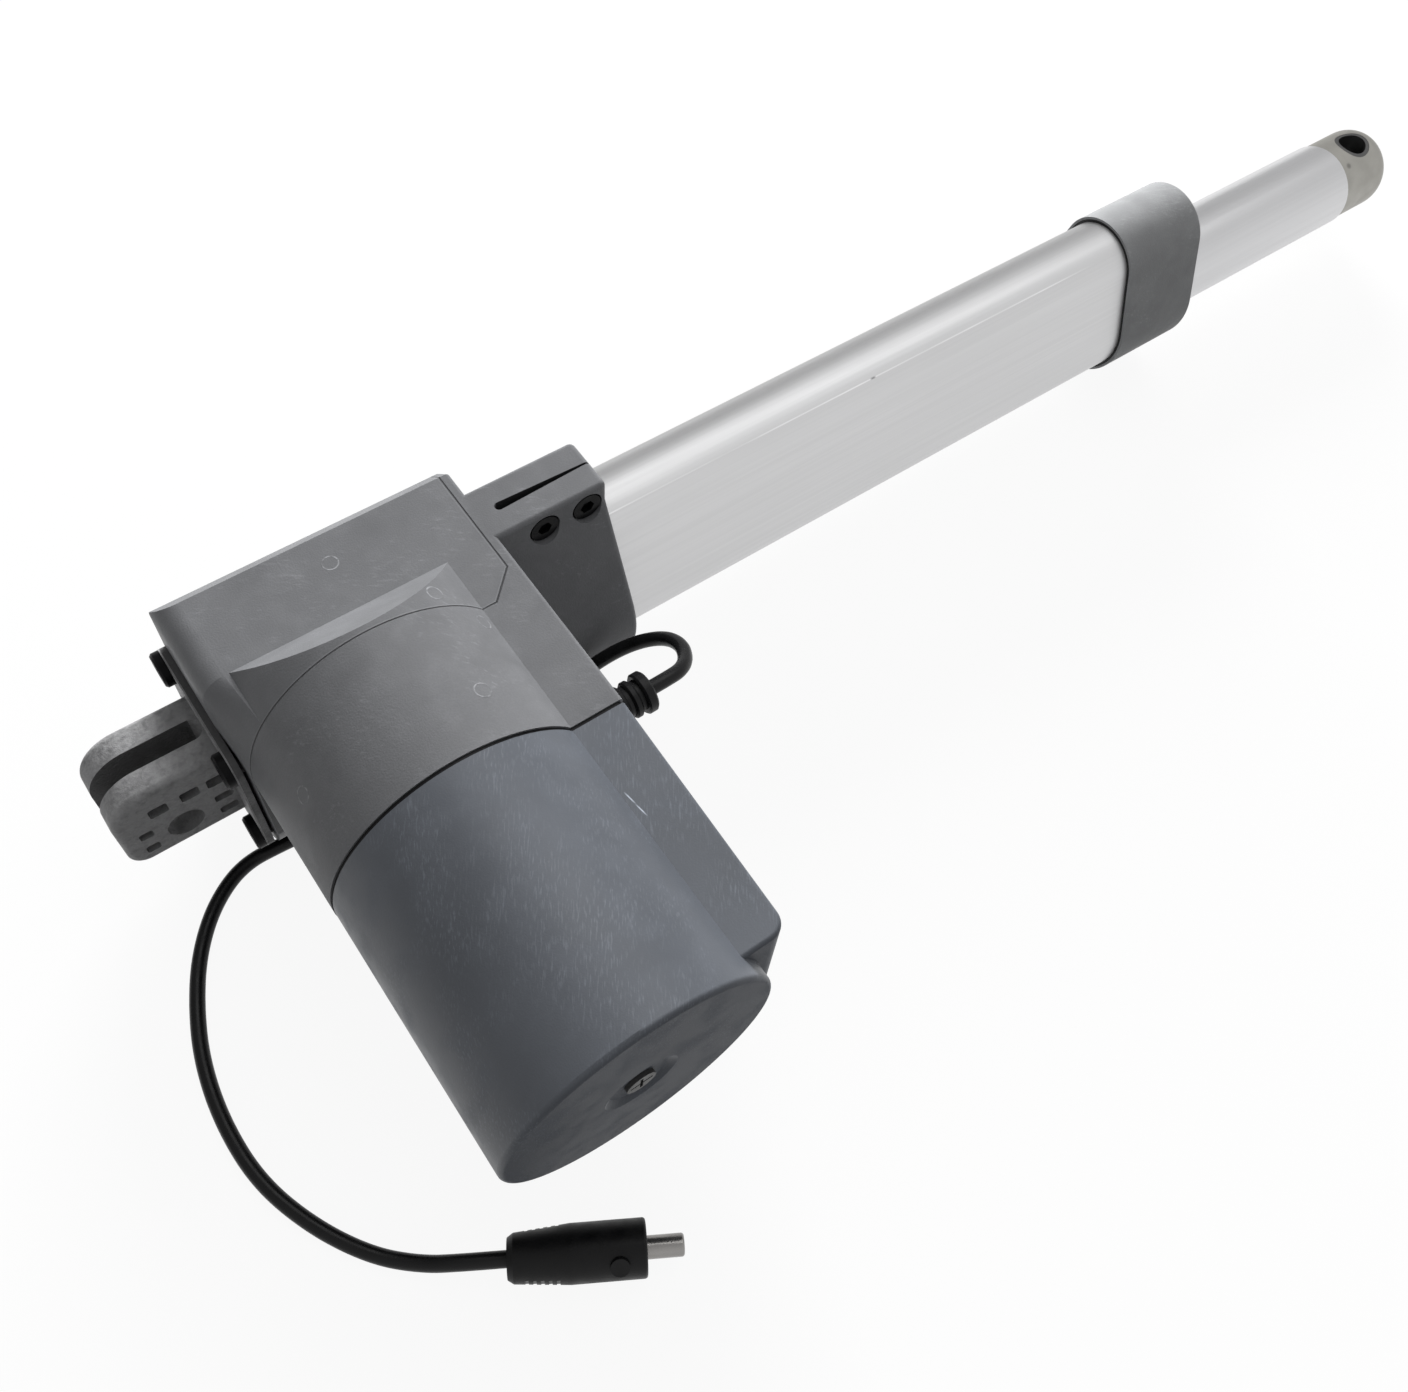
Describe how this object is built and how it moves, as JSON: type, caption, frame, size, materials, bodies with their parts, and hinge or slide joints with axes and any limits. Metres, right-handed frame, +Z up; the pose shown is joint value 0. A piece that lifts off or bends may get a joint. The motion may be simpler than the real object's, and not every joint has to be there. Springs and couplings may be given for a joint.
{
  "type": "electric linear actuator",
  "caption": "Electric linear actuator: side motor and worm gear case drive a screw that slides a round rod out of a pear-section tube, with a fork at the rear and an eye at the front.",
  "frame": {"origin": "centre of the rear pivot hole, on the rod's axis", "axes": "+X along the rod towards the front eye, +Y away from the motor, along the rear pin, +Z up, away from the round foot of the gear case"},
  "size_m": [0.5221, 0.2002, 0.0915],
  "materials": {
    "housing_grey": "satin powder-coated casting",
    "motor_can": "satin painted can with fine rub marks",
    "cast_grey": "bare cast metal",
    "cap_grey": "matt moulded plastic",
    "anodised": "satin anodised",
    "rod_steel": "polished steel",
    "eye_metal": "turned metal",
    "bush_metal": "plain steel",
    "black_steel": "black oxide",
    "bright_steel": "bright zinc",
    "black_rubber": "semi-gloss",
    "plug_metal": "nickel plated",
    "white_plastic": "moulded",
    "nut_bronze": "machined",
    "bearing_steel": "ground",
    "magnet": "sintered",
    "copper": "enamelled wire",
    "board": "coated board"
  },
  "bodies": {
    "root": {"gear_case": "housing_grey", "front_housing": "housing_grey", "motor_gasket": "black_rubber", "motor_cover": "motor_can", "cover_screw": "bright_steel", "motor_front_plate": "cast_grey", "motor_front_bearing": "bearing_steel", "motor_yoke": "bearing_steel", "motor_magnets": "magnet", "motor_rear_bell": "cast_grey", "motor_rear_bush": "nut_bronze", "worm_tip_bush": "nut_bronze", "brush_holder": "white_plastic", "brushes": "magnet", "rear_fixture": "cast_grey", "plate_screws": "black_steel", "clamp_screws": "black_steel", "clamp_nuts": "bright_steel", "outer_tube": "anodised", "end_cap": "cap_grey", "cap_seal": "black_rubber", "guide_bush": "white_plastic", "rod_wiper": "black_rubber", "switch_strip": "board", "limit_switches": "board", "rear_bearing_outer_race": "bearing_steel", "rear_bearing_ball_cage": "bearing_steel", "front_bearing_outer_race": "bearing_steel", "front_bearing_ball_cage": "bearing_steel", "cable_gland": "black_rubber", "power_cable": "black_rubber", "plug_body": "black_rubber", "plug_barrel": "plug_metal"},
    "rod": {"inner_tube": "rod_steel", "rod_eye": "eye_metal", "eye_bush": "bush_metal", "spindle_nut": "nut_bronze", "nut_slider": "white_plastic"},
    "spindle": {"spindle": "bearing_steel", "worm_wheel": "white_plastic", "rear_bearing_inner_race": "bearing_steel", "front_bearing_inner_race": "bearing_steel", "spindle_end_disc": "white_plastic"},
    "rotor": {"worm_shaft": "bearing_steel", "armature_core": "bearing_steel", "armature_windings": "copper", "commutator": "copper"}
  },
  "joints": [
    {"name": "motor_spin", "type": "hinge", "parent": "root", "child": "rotor", "pos_m": [0.056, 0, 0.028], "axis": [0, 1, 0], "range_deg": [-162000, 108000]},
    {"name": "spindle_spin", "type": "hinge", "parent": "root", "child": "spindle", "pos_m": [0, 0, 0], "axis": [1, 0, 0], "range_deg": [-5400.5, 3600.5]},
    {"name": "rod_slide", "type": "slide", "parent": "root", "child": "rod", "axis": [1, 0, 0], "range_m": [-0.08, 0.12]}
  ],
  "couplings": [
    {"joint": "spindle_spin", "follows": "motor_spin", "ratio": 0.033333},
    {"joint": "rod_slide", "follows": "motor_spin", "m_per_rad": -0.000042441}
  ]
}
